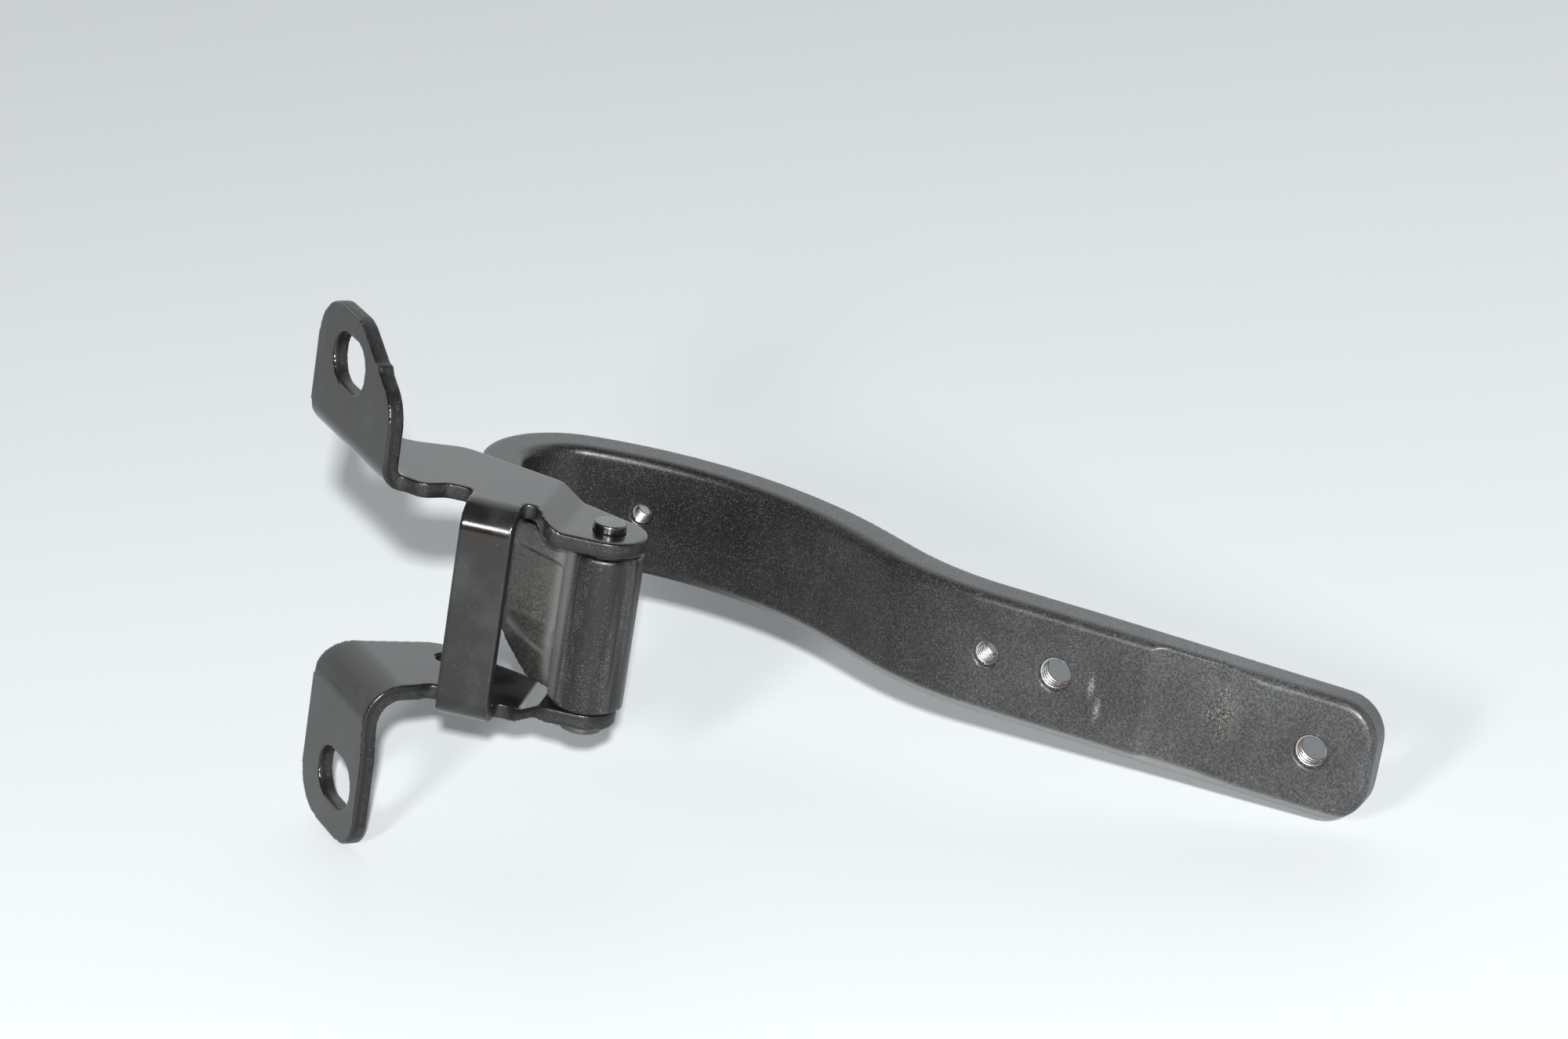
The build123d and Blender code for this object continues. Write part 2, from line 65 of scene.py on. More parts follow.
# Light of the room in front and of the wall behind, its share on matt faces, and three lamps
ROOM_LIGHT = 0.12
WALL_LIGHT = 1.6
WALL_START = 0.15
WALL_FULL = 0.65
MATT_SHARE = 0.45
FLASH_POWER = 198.0
FLASH_SIZE = 0.12
FLASH_RISE = 0.115
FLASH_SHIFT = 0.045
FLASH_AWAY = 3.0
LEFT_POWER = 6.5
LEFT_SIZE = 0.18
LEFT_SHIFT = 0.51
RIGHT_POWER = 1.5
RIGHT_SIZE = 1.0
RIGHT_ASIDE = 1.3
RIGHT_HEIGHT = 0.9

# Sheet thickness, how far its skins may leave it, and the mesh grain of the pieces, about the size of
# their edge rounding
SHEET = 4.0 * MM
SKIN_MARGIN = 0.12 * MM
JOGGLE_MARGIN = 2.0 * MM
SHEET_GRAIN = 0.45 * MM
FORGED_GRAIN = 0.64 * MM
SHARP_ANGLE = radians(40.0)
WELD = 1e-6

# Nib that the press left on the upper ear's sloping edge
NIB_PLACE = Vector((0.0, -6.1, 56.1)) * MM
NIB_PUSH = Vector((0.0, -0.496, 0.868)) * 0.8 * MM
NIB_REACH = 1.2 * MM

# Tapped holes of the arm: mount name, pitch and depth of the thread
THREADS = {
    "lid_screw_near": (1.25 * MM, 0.68 * MM),
    "lid_screw_far": (1.25 * MM, 0.68 * MM),
    "small_screw_pad": (1.0 * MM, 0.54 * MM),
    "small_screw_neck": (1.0 * MM, 0.5 * MM),
}
HOLE_FRONT = 5.15 * MM
BARE_RIM = 0.05 * MM
BARE_DEPTH = 4.4 * MM
THREAD_STEPS = 40
THREAD_FOOT = 0.48
THREAD_CREST = 0.08

# Places on the arm: its pin and barrel, its web, its neck and pad, the pad's rubbed ramp and smears, the
# bar's lower edge, the web's ribs, and the hollow beside the barrel
PIN_FOOT = Vector((47.5, -48.0, 0.0)) * MM
BARREL_RADIUS = 9.5 * MM
# Direction of the barrel's side that faces the camera, darkened there as painted shade
BARREL_SHADE_FACING = Vector((-0.559, -0.829))
WEB_ALONG = Vector((-0.3173, 0.9483, 0.0))
WEB_ACROSS = Vector((-0.9483, -0.3173, 0.0))
NECK_X = 95.0 * MM
PAD_X = 185.0 * MM
PAD_ALONG = Vector((0.636, -0.7716, 0.0))
RUBBED_PLACE = Vector((175.0, -133.9, 13.0)) * MM
RUBBED_REACH = 4.5 * MM
RUBBED_HEIGHT = 7.5 * MM
SMEAR_PLACES = (Vector((153.5, -108.7, 9.1)) * MM, Vector((155.0, -110.6, 3.1)) * MM)
SMEAR_REACH = 0.7 * MM
SMEAR_HEIGHT = 2.6 * MM
PAD_FRONT = Vector((-0.7716, -0.6361, 0.0))
BAR_FOOT_Z = -6.6 * MM
BAR_ROUNDING = 2.3 * MM
# Stretch along the bar over which the painted reflection on its lower edge fades in
RIM_REFLECTION_START = 92.0 * MM
RIM_REFLECTION_FULL = 124.0 * MM
# Crests of the web's two ribs: start, end, width and weight of the painted highlight along each
WEB_RIBS = (
    (Vector((34.3, -26.9, -3.2)) * MM, Vector((38.7, -41.4, -6.8)) * MM, 0.8 * MM, 1.0),
    (Vector((34.2, -26.1, 0.4)) * MM, Vector((39.2, -40.5, 2.0)) * MM, 0.45 * MM, 0.5),
)
RIB_HEIGHT_Z = 0.8 * MM
HOLLOW_RADIUS = 10.6 * MM
HOLLOW_REACH = 1.8 * MM


# Camera
heading = Vector((cos(VIEW_HEADING), sin(VIEW_HEADING), 0.0))
look = heading * cos(VIEW_DROP) - Vector((0, 0, sin(VIEW_DROP)))
level_right = Vector((sin(VIEW_HEADING), -cos(VIEW_HEADING), 0.0))
level_up = level_right.cross(look)
right = level_right * cos(VIEW_ROLL) + level_up * sin(VIEW_ROLL)
up = right.cross(look)
camera_data = bpy.data.cameras.new("camera")
camera_data.sensor_width = SENSOR_MM
camera_data.sensor_fit = "HORIZONTAL"
camera_data.lens = LENS_MM
camera_data.clip_start = 0.01
camera = bpy.data.objects.new("camera", camera_data)
turn = Matrix((right, up, -look)).transposed().to_4x4()
camera.matrix_world = Matrix.Translation(VIEW_TARGET - look * VIEW_DISTANCE) @ turn
bpy.context.scene.collection.objects.link(camera)
bpy.context.scene.camera = camera


# Shader helpers
def add_node(tree, kind, inputs=None, **settings):
    """New node with its settings, and each input set to a value or linked from a socket."""
    made = tree.nodes.new(kind)
    for name, value in settings.items():
        setattr(made, name, value)
    for name, value in (inputs or {}).items():
        if isinstance(value, bpy.types.NodeSocket):
            tree.links.new(value, made.inputs[name])
        else:
            made.inputs[name].default_value = value
    return made


def ramp(tree, value, stops):
    """Colour ramp over (position, grey or colour) stops; gives its Color output."""
    made = add_node(tree, "ShaderNodeValToRGB", {"Fac": value})
    elements = made.color_ramp.elements
    while len(elements) < len(stops):
        elements.new(0.5)
    for element, (position, colour) in zip(elements, stops):
        element.position = position
        if isinstance(colour, float):
            colour = (colour, colour, colour)
        element.color = (*colour, 1.0)
    return made.outputs["Color"]


def mix_colour(tree, factor, first, second, blend="MIX"):
    """Mix of two colours by a factor; gives the colour."""
    made = tree.nodes.new("ShaderNodeMix")
    made.data_type = "RGBA"
    made.blend_type = blend
    for name, value in (("Factor_Float", factor), ("A_Color", first), ("B_Color", second)):
        socket = next(s for s in made.inputs if s.identifier == name)
        if isinstance(value, bpy.types.NodeSocket):
            tree.links.new(value, socket)
        elif name == "Factor_Float":
            socket.default_value = value
        else:
            socket.default_value = (*value, 1.0)
    return next(s for s in made.outputs if s.identifier == "Result_Color")


def math(tree, operation, first, second=0.0, clamp=False):
    """One Math node; gives its value."""
    made = tree.nodes.new("ShaderNodeMath")
    made.operation = operation
    made.use_clamp = clamp
    for socket, value in zip(made.inputs, (first, second)):
        if isinstance(value, bpy.types.NodeSocket):
            tree.links.new(value, socket)
        else:
            socket.default_value = value
    return made.outputs["Value"]


def new_group(name, inputs, outputs):
    """Empty shader group with float inputs (name: default) and outputs (name: socket type)."""
    tree = bpy.data.node_groups.new(name, "ShaderNodeTree")
    for label, default in inputs.items():
        socket = tree.interface.new_socket(label, in_out="INPUT", socket_type="NodeSocketFloat")
        socket.default_value = default
    for label, kind in outputs.items():
        tree.interface.new_socket(label, in_out="OUTPUT", socket_type=kind)
    entry = tree.nodes.new("NodeGroupInput")
    leave = tree.nodes.new("NodeGroupOutput")
    return tree, entry.outputs, leave.inputs


def coating_group():
    """Coated steel: slow mottling, small spots, bright grains, upright streaks and an uneven skin."""
    labels = ("Mottle", "Spots", "Grain", "Streak", "Skin")
    tree, given, gives = new_group(
        "coated_steel",
        {
            "Mottle Scale": 60.0, "Spot Scale": 900.0, "Grain Scale": 2600.0,
            "Grain Share": 0.2, "Skin Scale": 1500.0,
        },
        {label: "NodeSocketFloat" for label in labels},
    )
    place = tree.nodes.new("ShaderNodeTexCoord").outputs["Object"]
    mottle = add_node(
        tree, "ShaderNodeTexNoise",
        {"Vector": place, "Scale": given["Mottle Scale"], "Detail": 5.0, "Roughness": 0.6},
    )
    spots = add_node(
        tree, "ShaderNodeTexNoise",
        {"Vector": place, "Scale": given["Spot Scale"], "Detail": 2.0, "Roughness": 0.6},
    )
    grain = add_node(tree, "ShaderNodeTexVoronoi", {"Vector": place, "Scale": given["Grain Scale"]})
    patch = add_node(
        tree, "ShaderNodeTexNoise", {"Vector": place, "Scale": 130.0, "Detail": 3.0},
    )
    lot = add_node(tree, "ShaderNodeSeparateColor", {"Color": grain.outputs["Color"]}).outputs["Red"]
    share = math(tree, "MULTIPLY", math(tree, "MULTIPLY", patch.outputs["Fac"], 2.0), given["Grain Share"])
    picked = math(tree, "ADD", math(tree, "SUBTRACT", lot, 1.0), share)
    picked = math(tree, "MULTIPLY", picked, 8.0, clamp=True)
    inside = math(tree, "SUBTRACT", 0.42, grain.outputs["Distance"])
    inside = math(tree, "MULTIPLY", inside, 5.0, clamp=True)
    drawn_out = add_node(tree, "ShaderNodeMapping", {"Vector": place, "Scale": (600.0, 600.0, 30.0)})
    streak = add_node(
        tree, "ShaderNodeTexNoise", {"Vector": drawn_out.outputs["Vector"], "Scale": 1.0, "Detail": 2.0},
    )
    skin = add_node(
        tree, "ShaderNodeTexNoise",
        {"Vector": place, "Scale": given["Skin Scale"], "Detail": 3.0, "Roughness": 0.55},
    )
    tree.links.new(mottle.outputs["Fac"], gives["Mottle"])
    tree.links.new(spots.outputs["Fac"], gives["Spots"])
    tree.links.new(math(tree, "MULTIPLY", picked, inside), gives["Grain"])
    tree.links.new(streak.outputs["Fac"], gives["Streak"])
    tree.links.new(skin.outputs["Fac"], gives["Skin"])
    return tree


COATING = coating_group()


def start_material(name, **values):
    """New material with one Principled BSDF, whose plain values are set on its own sockets."""
    made = bpy.data.materials.new(name)
    made.use_nodes = True
    shader = made.node_tree.nodes["Principled BSDF"]
    for label, value in values.items():
        shader.inputs[label.replace("_", " ")].default_value = value
    return made, made.node_tree, shader


def place_group(tree, group, **values):
    """Node of a shader group with its own values."""
    made = tree.nodes.new("ShaderNodeGroup")
    made.node_tree = group
    for label, value in values.items():
        made.inputs[label.replace("_", " ")].default_value = value
    return made.outputs


def add_bump(tree, shader, height, strength, distance):
    """Bump on the shader's normal."""
    bump = add_node(tree, "ShaderNodeBump", {"Height": height, "Strength": strength, "Distance": distance})
    tree.links.new(bump.outputs["Normal"], shader.inputs["Normal"])


def kept(tree, label):
    """One of the numbers that a piece keeps at its vertices."""
    return add_node(tree, "ShaderNodeAttribute", attribute_name=label).outputs["Fac"]


def sheet_material():
    """Satin dark coat of the sheet, with the dark, speckled look of its blanked edges."""
    made, tree, shader = start_material("bracket_coat", IOR=1.5)
    coat = place_group(tree, COATING, Mottle_Scale=55.0, Grain_Scale=2400.0, Grain_Share=0.03)
    rough_edge = place_group(tree, COATING, Mottle_Scale=420.0, Grain_Scale=4200.0, Grain_Share=0.18)
    face = ramp(
        tree, coat["Mottle"],
        [(0.36, (0.008, 0.005, 0.003)), (0.50, (0.009, 0.0085, 0.0085)), (0.62, (0.020, 0.0197, 0.0195))],
    )
    face = mix_colour(tree, coat["Grain"], face, (0.30, 0.29, 0.27))
    across = kept(tree, "across_sheet")
    cut = ramp(tree, across, [(0.08, 0.0), (0.13, 1.0), (0.87, 1.0), (0.92, 0.0)])
    band = ramp(tree, across, [(0.36, 0.0), (0.48, 1.0)])
    torn = ramp(tree, rough_edge["Mottle"], [(0.40, (0.002, 0.002, 0.002)), (0.62, (0.012, 0.012, 0.012))])
    torn = mix_colour(tree, rough_edge["Grain"], torn, (0.15, 0.145, 0.14))
    edge = mix_colour(tree, band, (0.002, 0.002, 0.002), torn)
    colour = mix_colour(tree, cut, face, edge)
    tree.links.new(colour, shader.inputs["Base Color"])
    patchy = ramp(tree, coat["Mottle"], [(0.40, 0.12), (0.60, 0.20)])
    satin = math(tree, "ADD", math(tree, "MULTIPLY", coat["Skin"], 0.10), patchy)
    rough = math(tree, "ADD", satin, math(tree, "MULTIPLY", cut, 0.3))
    tree.links.new(rough, shader.inputs["Roughness"])
    add_bump(tree, shader, coat["Skin"], 0.15, 0.00005)
    return made


def forging_material():
    """Dark coat over a slightly rough forging: bright grains, brown mottling, paler towards the pad's end,
    with painted shade on the barrel's front, painted highlights on the web's ribs and a painted reflection
    on the bar's lower edge.
    """
    made, tree, shader = start_material("arm_coat", IOR=1.5)
    coat = place_group(
        tree, COATING, Mottle_Scale=42.0, Spot_Scale=1700.0, Grain_Scale=4200.0, Grain_Share=0.2,
    )
    dense = place_group(tree, COATING, Mottle_Scale=90.0, Grain_Scale=3600.0, Grain_Share=0.5)
    dark = ramp(tree, coat["Mottle"], [(0.36, (0.0045, 0.004, 0.0035)), (0.64, (0.011, 0.0106, 0.0106))])
    pale = ramp(tree, coat["Mottle"], [(0.36, (0.028, 0.028, 0.029)), (0.64, (0.054, 0.0555, 0.058))])
    # colour grows paler from the neck towards the pad's end
    colour = mix_colour(tree, kept(tree, "pale_toward_pad"), dark, pale)
    spots = ramp(tree, coat["Spots"], [(0.34, 0.45), (0.50, 0.95), (0.68, 1.8)])
    colour = mix_colour(tree, 1.0, colour, spots, "MULTIPLY")
    olive = ramp(tree, coat["Spots"], [(0.34, (0.022, 0.0213, 0.019)), (0.66, (0.072, 0.0705, 0.065))])
    colour = mix_colour(tree, kept(tree, "pocket"), colour, olive)
    colour = mix_colour(tree, coat["Grain"], colour, (0.20, 0.195, 0.185))
    streaks = ramp(tree, coat["Streak"], [(0.36, (0.008, 0.008, 0.008)), (0.62, (0.034, 0.033, 0.032))])
    in_streaks = ramp(tree, coat["Streak"], [(0.40, 0.0), (0.58, 1.0)])
    gritty = math(tree, "MULTIPLY", dense["Grain"], in_streaks)
    # painted shade: a dark upright band, with fewer grains, down the side of the barrel that faces the
    # camera
    band = kept(tree, "barrel_front_shade")
    streaks = mix_colour(tree, band, streaks, (0.0015, 0.0015, 0.0015))
    cleaner = math(tree, "SUBTRACT", 1.0, math(tree, "MULTIPLY", band, 0.4))
    gritty = math(tree, "MULTIPLY", gritty, cleaner)
    barrel = mix_colour(tree, gritty, streaks, (0.21, 0.206, 0.197))
    colour = mix_colour(tree, kept(tree, "barrel"), colour, barrel)
    # painted highlight: pale strips along the crests of the web's two ribs
    colour = mix_colour(tree, kept(tree, "rib_highlight"), colour, (0.105, 0.1035, 0.099))
    # paler colour along the hollow between the web and the barrel
    colour = mix_colour(tree, kept(tree, "pale_hollow"), colour, (0.125, 0.1235, 0.119))
    rubbed = math(tree, "MULTIPLY", dense["Grain"], kept(tree, "rubbed"))
    rubbed = math(tree, "MULTIPLY", rubbed, 1.6, clamp=True)
    colour = mix_colour(tree, rubbed, colour, (0.36, 0.33, 0.26))
    uneven = ramp(tree, coat["Spots"], [(0.40, 0.1), (0.60, 0.9)])
    smear = math(tree, "MULTIPLY", kept(tree, "smear"), uneven)
    colour = mix_colour(tree, smear, colour, (0.24, 0.24, 0.235))
    # painted reflection: the bar's lower front rounding is paled as if it mirrored the table beneath
    colour = mix_colour(tree, kept(tree, "painted_rim_reflection"), colour, (0.15, 0.151, 0.151))
    bare = kept(tree, "bare")
    colour = mix_colour(tree, bare, colour, (0.42, 0.415, 0.41))
    tree.links.new(bare, shader.inputs["Metallic"])
    tree.links.new(colour, shader.inputs["Base Color"])
    rough = math(tree, "ADD", math(tree, "MULTIPLY", coat["Skin"], 0.24), 0.26)
    tree.links.new(rough, shader.inputs["Roughness"])
    add_bump(tree, shader, coat["Skin"], 0.35, 0.0001)
    return made


def thread_material():
    """Bare cut steel with a golden-brown tint in patches."""
    made, tree, shader = start_material("thread_steel", Metallic=1.0)
    coat = place_group(tree, COATING, Mottle_Scale=260.0, Grain_Scale=3000.0)
    colour = ramp(
        tree, coat["Mottle"],
        [(0.30, (0.36, 0.28, 0.19)), (0.44, (0.50, 0.485, 0.47)), (0.70, (0.62, 0.62, 0.62))],
    )
    tree.links.new(colour, shader.inputs["Base Color"])
    rough = math(tree, "ADD", math(tree, "MULTIPLY", coat["Skin"], 0.2), 0.22)
    tree.links.new(rough, shader.inputs["Roughness"])
    return made


def turned_material(name, dark, light, metallic, roughness):
    """Turned or pressed steel: fine mottling between two greys."""
    made, tree, shader = start_material(name, Metallic=metallic)
    coat = place_group(tree, COATING, Mottle_Scale=240.0)
    base = ramp(tree, coat["Mottle"], [(0.35, dark), (0.65, light)])
    tree.links.new(base, shader.inputs["Base Color"])
    rough = math(tree, "ADD", math(tree, "MULTIPLY", coat["Skin"], 0.2), roughness)
    tree.links.new(rough, shader.inputs["Roughness"])
    add_bump(tree, shader, coat["Skin"], 0.15, 0.00005)
    return made


# Pieces made from the CAD nodes
def welded(node):
    """The node's mesh as one closed surface."""
    work = bmesh.new()
    work.from_mesh(frame["nodes"][node].data)
    bmesh.ops.remove_doubles(work, verts=work.verts, dist=WELD)
    return work


def worn_copy(node, name, grain, smoothing):
    """Fine even mesh over a node's welded surface, with its edges eased as a coat eases them."""
    work = welded(node)
    mesh = bpy.data.meshes.new(name)
    work.to_mesh(mesh)
    work.free()
    piece = bpy.data.objects.new(name, mesh)
    bpy.context.scene.collection.objects.link(piece)
    remesh = piece.modifiers.new("even_mesh", "REMESH")
    remesh.mode = "VOXEL"
    remesh.voxel_size = grain
    remesh.use_smooth_shade = True
    soften = piece.modifiers.new("eased_edges", "SMOOTH")
    soften.factor = 0.5
    soften.iterations = smoothing
    graph = bpy.context.evaluated_depsgraph_get()
    piece.data = bpy.data.meshes.new_from_object(piece.evaluated_get(graph), depsgraph=graph)
    piece.modifiers.clear()
    piece.data.name = name
    bpy.data.meshes.remove(mesh)
    return piece


def store(piece, label, values):
    """Keeps one number for each vertex of a piece as an attribute that its material reads."""
    layer = piece.data.attributes.new(label, "FLOAT", "POINT")
    layer.data.foreach_set("value", values)


def sheet_skins(node, thickness):
    """Surface trees of the sheet's two skins: faces with the other skin one thickness behind, and the
    smooth neighbours that they grow over at the joggles."""
    work = welded(node)
    whole = BVHTree.FromBMesh(work)
    seeds = set()
    open_faces = set()
    for face in work.faces:
        middle = face.calc_center_median()
        back = whole.ray_cast(middle - face.normal * WELD, -face.normal)
        if back[0] is None:
            continue
        error = abs(back[3] - thickness)
        if error < SKIN_MARGIN:
            seeds.add(face)
        if error < JOGGLE_MARGIN:
            open_faces.add(face)
    skins = []
    while seeds:
        front = [seeds.pop()]
        open_faces.discard(front[0])
        skin = []
        while front:
            face = front.pop()
            skin.append(face)
            seeds.discard(face)
            for edge in face.edges:
                for other in edge.link_faces:
                    if other in open_faces and edge.calc_face_angle(pi) < SHARP_ANGLE:
                        open_faces.remove(other)
                        front.append(other)
        skins.append(skin)
    skins.sort(key=lambda skin: -sum(face.calc_area() for face in skin))
    trees = []
    for skin in skins[:2]:
        points = [vertex.co.copy() for face in skin for vertex in face.verts]
        counts = [len(face.verts) for face in skin]
        polygons = []
        first = 0
        for count in counts:
            polygons.append(tuple(range(first, first + count)))
            first += count
        trees.append(BVHTree.FromPolygons(points, polygons))
    work.free()
    return trees


def place_piece(piece, node, body, materials):
    """Gives a piece its materials and lets it stand for its CAD node."""
    for material in materials:
        piece.data.materials.append(material)
    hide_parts(node)
    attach(piece, body)


bracket = worn_copy("body_bracket", "bracket_sheet", SHEET_GRAIN, 2)
for vertex in bracket.data.vertices:
    beside = vertex.co - NIB_PLACE
    if beside.x < SHEET:
        vertex.co += NIB_PUSH * exp(-(beside.yz.length / NIB_REACH) ** 2)
outer_skin, inner_skin = sheet_skins("body_bracket", SHEET)
shares = []
for vertex in bracket.data.vertices:
    to_outer = outer_skin.find_nearest(vertex.co)[3]
    to_inner = inner_skin.find_nearest(vertex.co)[3]
    shares.append(to_outer / (to_outer + to_inner))
store(bracket, "across_sheet", shares)
place_piece(bracket, "body_bracket", "bracket", [sheet_material()])

tapped = [mount for mount in frame["record"]["mounts"] if mount["name"] in THREADS]


def bare_share(place):
    """1 on the wall of a tapped hole, 0 on the coated skin."""
    for mount in tapped:
        offset = place - Vector(mount["pos_m"])
        axis = Vector(mount["axis"])
        depth = offset.dot(axis)
        beside = offset - axis * depth
        if abs(depth) < BARE_DEPTH and beside.length < mount["dims"]["r_mm"] * MM + BARE_RIM:
            return 1.0
    return 0.0


def ease(value, low, high):
    """0 below the low value, 1 above the high one, with a soft step between."""
    share = min(max((value - low) / (high - low), 0.0), 1.0)
    return share * share * (3 - 2 * share)


def pale_toward_pad_share(place):
    """How much paler the arm's coat is: it grows from the neck to the pad's end."""
    return ease(place.x, NECK_X, PAD_X)


def barrel_share(place):
    """1 on the barrel's outside."""
    return 1.0 - ease((place - PIN_FOOT).xy.length, BARREL_RADIUS + 0.1 * MM, BARREL_RADIUS + 0.8 * MM)


def barrel_shade_share(place):
    """1 on the side of the barrel that faces the camera, where shade is painted as a dark upright band."""
    beside = (place - PIN_FOOT).xy
    return ease(beside.normalized().dot(BARREL_SHADE_FACING), 0.76, 0.97)


def pocket_share(place):
    """1 on the front of the web."""
    beside = place - PIN_FOOT
    along = beside.dot(WEB_ALONG)
    across = beside.dot(WEB_ACROSS)
    inside = ease(along, 6.0 * MM, 9.0 * MM) * (1.0 - ease(along, 32.0 * MM, 36.0 * MM))
    below = ease(RIB_HEIGHT_Z - place.z, 0.0, 1.0 * MM)
    return inside * ease(across, 1.0 * MM, 2.0 * MM) * (1.0 - 0.5 * below)


def rib_highlight_share(place):
    """1 along the crests of the web's two ribs, where a pale colour paints their highlight."""
    most = 0.0
    for start, end, width, weight in WEB_RIBS:
        step = end - start
        share = min(max((place - start).dot(step) / step.length_squared, 0.0), 1.0)
        beside = (place - start - step * share).length / width
        most = max(most, weight * exp(-beside * beside))
    return most


def pale_hollow_share(place):
    """1 along the hollow between the web and the barrel, which is coloured paler."""
    beside = place - PIN_FOOT
    in_front = ease(beside.dot(WEB_ACROSS), 3.0 * MM, 5.0 * MM)
    toward_web = ease(beside.dot(WEB_ALONG), 0.5 * MM, 2.5 * MM)
    return in_front * toward_web * exp(-((beside.xy.length - HOLLOW_RADIUS) / HOLLOW_REACH) ** 2)


def rubbed_share(place):
    """1 in the middle of the patch on the pad's ramp where the coat is rubbed through."""
    beside = place - RUBBED_PLACE
    along = beside.dot(PAD_ALONG) / RUBBED_REACH
    high = beside.z / RUBBED_HEIGHT
    return exp(-along * along - high * high)


def smear_share(place):
    """1 in the middle of the pale smears beside the near M8 hole."""
    most = 0.0
    for middle in SMEAR_PLACES:
        beside = place - middle
        along = beside.dot(PAD_ALONG) / SMEAR_REACH
        high = beside.z / SMEAR_HEIGHT
        most = max(most, exp(-along * along - high * high))
    return most


def rim_reflection_share(place, facing):
    """1 on the rounding of the bar's lower front edge, where a pale colour paints the reflection of the
    table beneath.
    """
    low = ease(BAR_FOOT_Z + BAR_ROUNDING - place.z, 0.3 * MM, 0.9 * MM)
    return low * ease(facing.dot(PAD_FRONT), 0.0, 0.2) * ease(place.x, RIM_REFLECTION_START, RIM_REFLECTION_FULL)


arm = worn_copy("lid_arm", "arm_forging", FORGED_GRAIN, 2)
SHARES = {
    "bare": bare_share,
    "pale_toward_pad": pale_toward_pad_share,
    "barrel": barrel_share,
    "pocket": pocket_share,
    "pale_hollow": pale_hollow_share,
    "rubbed": rubbed_share,
    "smear": smear_share,
    "barrel_front_shade": barrel_shade_share,
    "rib_highlight": rib_highlight_share,
}
for label, share_at in SHARES.items():
    store(arm, label, [share_at(vertex.co) for vertex in arm.data.vertices])
rim_reflections = [rim_reflection_share(vertex.co, vertex.normal) for vertex in arm.data.vertices]
store(arm, "painted_rim_reflection", rim_reflections)
place_piece(arm, "lid_arm", "arm", [forging_material()])


# Cut threads: a ridge that winds up the wall of each tapped hole
def thread_tree():
    """Geometry Nodes tree of one thread, about Z, from its foot at the origin."""
    tree = bpy.data.node_groups.new("cut_thread", "GeometryNodeTree")
    sizes = {
        "Radius": 4.0 * MM, "Pitch": 1.25 * MM, "Depth": 0.68 * MM, "Length": 10.0 * MM, "Seat": 0.2 * MM,
    }
    for label, default in sizes.items():
        socket = tree.interface.new_socket(label, in_out="INPUT", socket_type="NodeSocketFloat")
        socket.default_value = default
    tree.interface.new_socket("Material", in_out="INPUT", socket_type="NodeSocketMaterial")
    tree.interface.new_socket("Geometry", in_out="OUTPUT", socket_type="NodeSocketGeometry")
    given = tree.nodes.new("NodeGroupInput").outputs
    run = math(tree, "SUBTRACT", given["Length"], given["Pitch"])
    winding = add_node(tree, "GeometryNodeCurveSpiral", {
        "Resolution": THREAD_STEPS,
        "Rotations": math(tree, "DIVIDE", run, given["Pitch"]),
        "Start Radius": given["Radius"],
        "End Radius": given["Radius"],
        "Height": run,
    })
    upright = add_node(tree, "GeometryNodeSetCurveNormal", {"Curve": winding.outputs["Curve"]}, mode="Z_UP")
    half_foot = math(tree, "MULTIPLY", given["Pitch"], THREAD_FOOT)
    half_crest = math(tree, "MULTIPLY", given["Pitch"], THREAD_CREST)
    inward = given["Depth"]
    seat = math(tree, "MULTIPLY", given["Seat"], -1.0)
    profile = add_node(tree, "GeometryNodeCurvePrimitiveQuadrilateral", mode="POINTS")
    corners = (
        (seat, half_foot, 1.0),
        (seat, half_foot, -1.0),
        (inward, half_crest, -1.0),
        (inward, half_crest, 1.0),
    )
    for number, (depth, half, side) in enumerate(corners, start=1):
        across = math(tree, "MULTIPLY", half, side)
        point = add_node(tree, "ShaderNodeCombineXYZ", {"X": across, "Y": depth})
        tree.links.new(point.outputs["Vector"], profile.inputs[f"Point {number}"])
    ridge = add_node(tree, "GeometryNodeCurveToMesh", {
        "Curve": upright.outputs["Curve"],
        "Profile Curve": profile.outputs["Curve"],
        "Fill Caps": True,
    })
    single = add_node(tree, "GeometryNodeRealizeInstances", {"Geometry": ridge.outputs["Mesh"]})
    coated = add_node(tree, "GeometryNodeSetMaterial", {
        "Geometry": single.outputs["Geometry"], "Material": given["Material"],
    })
    leave = tree.nodes.new("NodeGroupOutput")
    tree.links.new(coated.outputs["Geometry"], leave.inputs["Geometry"])
    return tree


def hole_front(mount):
    """Outward direction of a tapped hole on the arm's visible face."""
    axis = Vector(mount["axis"])
    return axis if axis.dot(look) < 0 else -axis


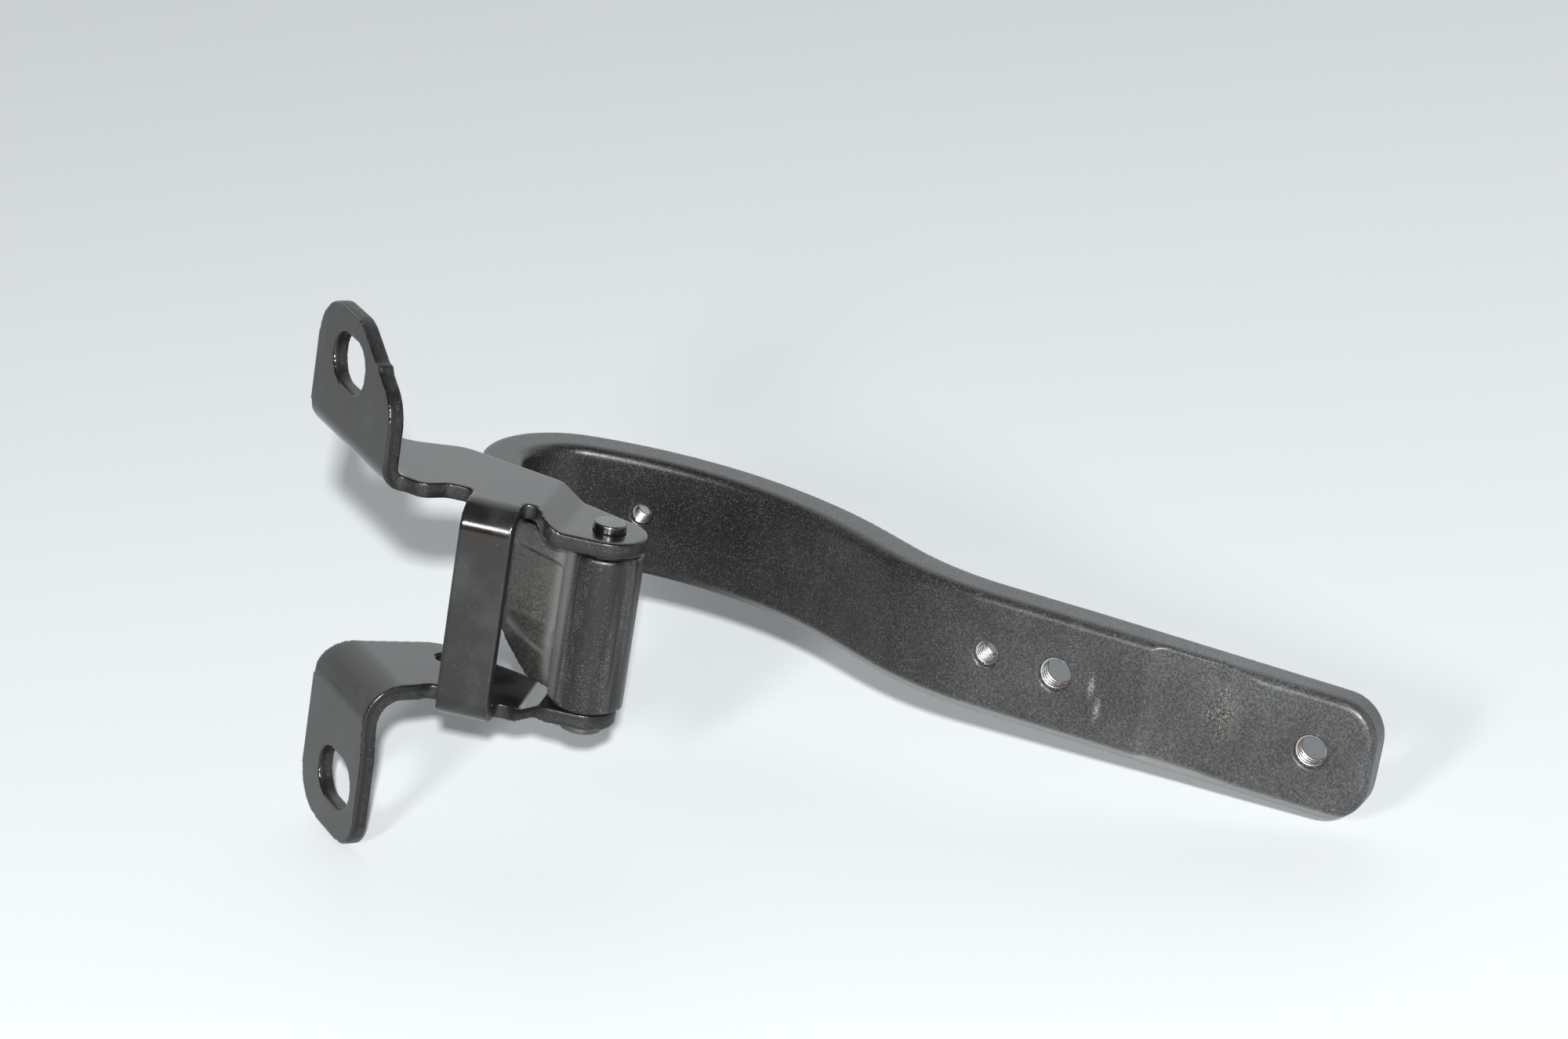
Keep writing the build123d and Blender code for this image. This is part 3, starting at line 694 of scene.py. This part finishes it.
def cut_threads():
    """The ridges of all tapped holes as one piece on the arm."""
    tree = thread_tree()
    steel = thread_material()
    sockets = {item.name: item.identifier for item in tree.interface.items_tree if item.in_out == "INPUT"}
    joined = bmesh.new()
    for mount in tapped:
        pitch, depth = THREADS[mount["name"]]
        length = mount["dims"]["length_mm"] * MM
        carrier = bpy.data.objects.new("thread_carrier", bpy.data.meshes.new("thread_carrier"))
        bpy.context.scene.collection.objects.link(carrier)
        modifier = carrier.modifiers.new("thread", "NODES")
        modifier.node_group = tree
        values = {"Radius": mount["dims"]["r_mm"] * MM, "Pitch": pitch, "Depth": depth, "Length": length}
        for label, value in values.items():
            modifier[sockets[label]] = value
        modifier[sockets["Material"]] = steel
        graph = bpy.context.evaluated_depsgraph_get()
        mesh = bpy.data.meshes.new_from_object(carrier.evaluated_get(graph), depsgraph=graph)
        front = hole_front(mount)
        turn = front.to_track_quat("Z", "Y").to_matrix().to_4x4()
        foot = Vector(mount["pos_m"]) + front * (HOLE_FRONT - length + pitch / 2)
        mesh.transform(Matrix.Translation(foot) @ turn)
        joined.from_mesh(mesh)
        bpy.data.objects.remove(carrier)
    bmesh.ops.recalc_face_normals(joined, faces=joined.faces)
    mesh = bpy.data.meshes.new("hole_threads")
    joined.to_mesh(mesh)
    joined.free()
    mesh.materials.append(steel)
    piece = bpy.data.objects.new("hole_threads", mesh)
    bpy.context.scene.collection.objects.link(piece)
    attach(piece, "arm")
    return piece


cut_threads()

pin_coat = turned_material("pin_coat", (0.10, 0.10, 0.10), (0.14, 0.14, 0.14), 1.0, 0.18)
bush_coat = turned_material("bush_coat", (0.02, 0.018, 0.016), (0.045, 0.043, 0.04), 0.0, 0.4)
for node, coat in (("pivot_pin", pin_coat), ("upper_bush", bush_coat), ("lower_bush", bush_coat)):
    frame["nodes"][node].data.materials.clear()
    frame["nodes"][node].data.materials.append(coat)

# Table top
table_rise = heading * TABLE_SLOPE + level_right * TABLE_SIDE_SLOPE
lowest = min(
    vertex.co.z - table_rise.dot(vertex.co)
    for node in frame["nodes"].values() for vertex in node.data.vertices
)
table_up = (Vector((0, 0, 1)) - table_rise).normalized()
table_mesh = bpy.data.meshes.new("table")
table_away = table_up.cross(level_right).normalized()
table_side = table_away.cross(table_up)
table_middle = Vector((0, 0, lowest - TABLE_GAP))
corners = [
    table_middle + table_side * a * TABLE_SIZE / 2 + table_away * b * TABLE_SIZE / 2
    for a, b in ((-1, -1), (1, -1), (1, 1), (-1, 1))
]
table_mesh.from_pydata(corners, [], [(0, 1, 2, 3)])
table = bpy.data.objects.new("table", table_mesh)
bpy.context.scene.collection.objects.link(table)
table_paint, table_tree, table_shader = start_material("table_paint", Roughness=0.55)
table_shader.inputs["Base Color"].default_value = PALE
clear = table_tree.nodes.new("ShaderNodeBsdfTransparent")
behind = table_tree.nodes.new("ShaderNodeNewGeometry").outputs["Backfacing"]
either = table_tree.nodes.new("ShaderNodeMixShader")
table_tree.links.new(behind, either.inputs["Fac"])
table_tree.links.new(table_shader.outputs["BSDF"], either.inputs[1])
table_tree.links.new(clear.outputs["BSDF"], either.inputs[2])
table_tree.links.new(either.outputs["Shader"], table_tree.nodes["Material Output"].inputs["Surface"])
table_mesh.materials.append(table_paint)

# World: a dim room on the camera's side, a pale wall behind, and the same pale backdrop for the camera
world = bpy.data.worlds.new("studio")
bpy.context.scene.world = world
world.use_nodes = True
air = world.node_tree
room = air.nodes["Background"]
room.inputs["Color"].default_value = PALE
toward = air.nodes.new("ShaderNodeTexCoord").outputs["Generated"]
facing = add_node(air, "ShaderNodeVectorMath", {0: toward, 1: heading}, operation="DOT_PRODUCT")
glow = add_node(
    air, "ShaderNodeMapRange",
    {
        "Value": facing.outputs["Value"],
        "From Min": WALL_START, "From Max": WALL_FULL, "To Min": ROOM_LIGHT, "To Max": WALL_LIGHT,
    },
    interpolation_type="SMOOTHSTEP",
)
mirrored = air.nodes.new("ShaderNodeLightPath").outputs["Is Glossy Ray"]
share = add_node(air, "ShaderNodeMapRange", {"Value": mirrored, "To Min": MATT_SHARE, "To Max": 1.0})
air.links.new(
    math(air, "MULTIPLY", glow.outputs["Result"], share.outputs["Result"]), room.inputs["Strength"],
)
backdrop = add_node(air, "ShaderNodeBackground", {"Color": PALE})
seen = air.nodes.new("ShaderNodeLightPath").outputs["Is Camera Ray"]
shown = add_node(air, "ShaderNodeMixShader", {"Fac": seen})
air.links.new(room.outputs["Background"], shown.inputs[1])
air.links.new(backdrop.outputs["Background"], shown.inputs[2])
air.links.new(shown.outputs["Shader"], air.nodes["World Output"].inputs["Surface"])


def area_lamp(name, place, target, size, power):
    """Square lamp at a place, facing a target."""
    data = bpy.data.lights.new(name, "AREA")
    data.size = size
    data.energy = power
    lamp = bpy.data.objects.new(name, data)
    lamp.location = place
    lamp.rotation_euler = (target - place).to_track_quat("-Z", "Y").to_euler()
    bpy.context.scene.collection.objects.link(lamp)


flash_from = camera.location + up * FLASH_RISE + right * FLASH_SHIFT
flash_place = VIEW_TARGET + (flash_from - VIEW_TARGET) * FLASH_AWAY
area_lamp("flash", flash_place, VIEW_TARGET, FLASH_SIZE, FLASH_POWER)
area_lamp("left_lamp", camera.location - right * LEFT_SHIFT, VIEW_TARGET, LEFT_SIZE, LEFT_POWER)
right_place = VIEW_TARGET + level_right * RIGHT_ASIDE + table_up * RIGHT_HEIGHT
area_lamp("right_lamp", right_place, VIEW_TARGET, RIGHT_SIZE, RIGHT_POWER)

bpy.context.scene.view_settings.view_transform = "Standard"
